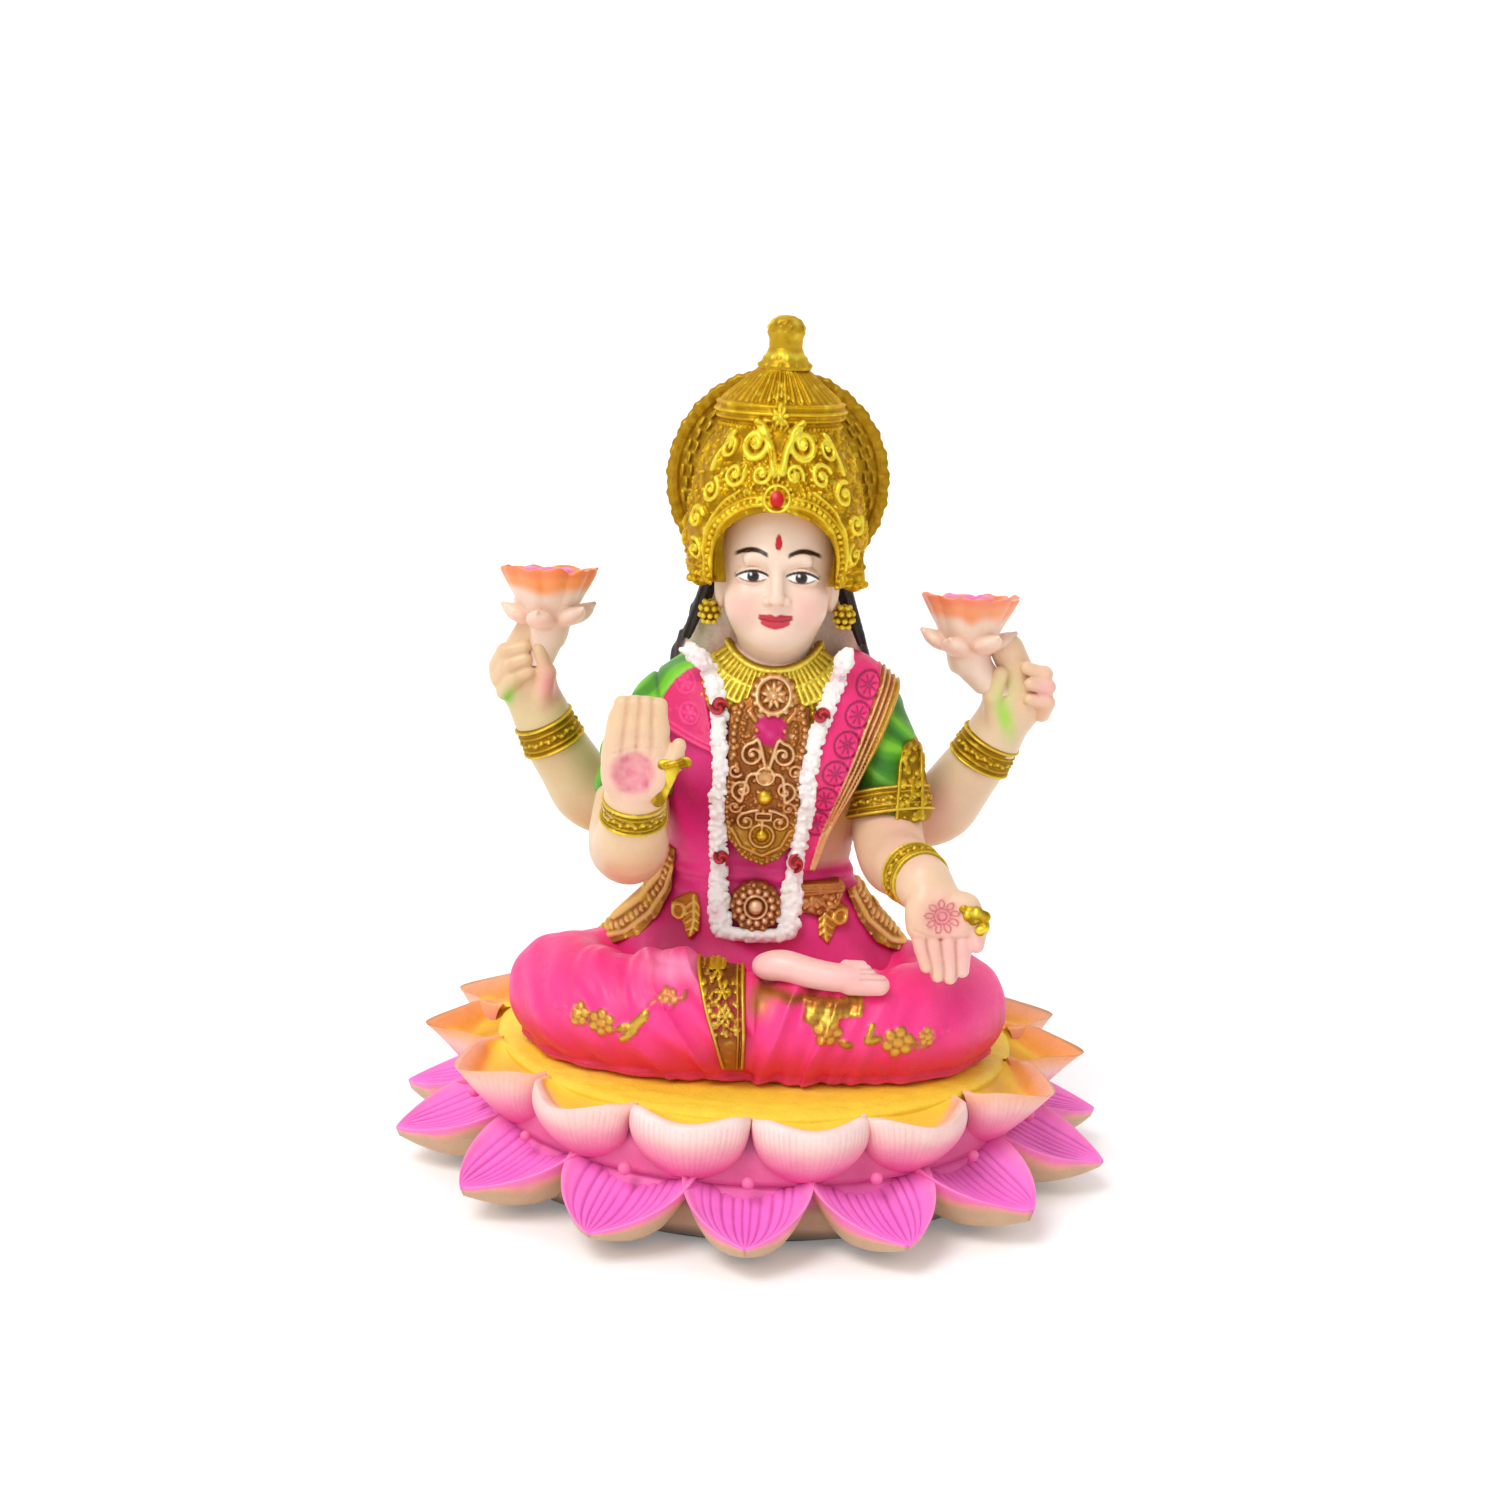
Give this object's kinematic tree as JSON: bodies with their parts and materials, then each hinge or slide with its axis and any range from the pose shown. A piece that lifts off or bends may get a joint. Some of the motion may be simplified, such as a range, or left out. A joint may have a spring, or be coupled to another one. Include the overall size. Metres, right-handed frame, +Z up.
{
  "type": "hindu deity statue",
  "caption": "Painted resin figure seated cross-legged on a tiered lotus base, with a tall crown and halo, raised and lowered palms, and lotus flowers held up beside the head.",
  "frame": {"origin": "centre of the bounding box's underside, on the felt pad", "axes": "+Z up towards the crown's finial; the figure faces -Y; its own right hand is on the -X side"},
  "size_m": [0.126, 0.126, 0.15],
  "materials": {
    "felt": "matt felt",
    "resin_petal_pink": "satin paint on cast resin",
    "resin_blush": "satin paint on cast resin",
    "resin_yellow": "matt paint on cast resin",
    "resin_saree_pink": "satin paint on cast resin",
    "resin_skin": "smooth ivory resin",
    "resin_green": "satin paint on cast resin",
    "resin_white": "matt paint on cast resin",
    "resin_hair": "matt paint on cast resin",
    "gold_paint": "metallic gold paint on cast resin",
    "copper_paint": "metallic copper paint on cast resin"
  },
  "bodies": {
    "root": {"felt_pad": "felt", "lotus_base_lower": "resin_petal_pink", "lotus_base_upper": "resin_blush", "seat": "resin_yellow", "legs": "resin_saree_pink", "torso": "resin_saree_pink", "head": "resin_skin", "hair": "resin_hair", "right_foot": "resin_skin", "sash_end": "copper_paint", "right_front_sleeve": "resin_green", "right_front_arm": "resin_skin", "right_front_bangle": "gold_paint", "right_front_hand": "resin_skin", "left_front_sleeve": "resin_green", "left_front_arm": "resin_skin", "left_front_bangle": "gold_paint", "left_front_hand": "resin_skin", "left_front_armlet": "gold_paint", "right_rear_arm": "resin_skin", "right_rear_bangle": "gold_paint", "right_rear_hand": "resin_skin", "right_rear_lotus": "resin_blush", "left_rear_arm": "resin_skin", "left_rear_bangle": "gold_paint", "left_rear_hand": "resin_skin", "left_rear_lotus": "resin_blush", "crown": "gold_paint", "crown_finial": "gold_paint", "halo": "gold_paint", "right_earring": "gold_paint", "left_earring": "gold_paint", "necklace": "gold_paint", "shoulder_scarf": "resin_saree_pink", "chest_pendant": "copper_paint", "garland": "resin_white", "belt_medallion": "copper_paint"}
  },
  "joints": []
}
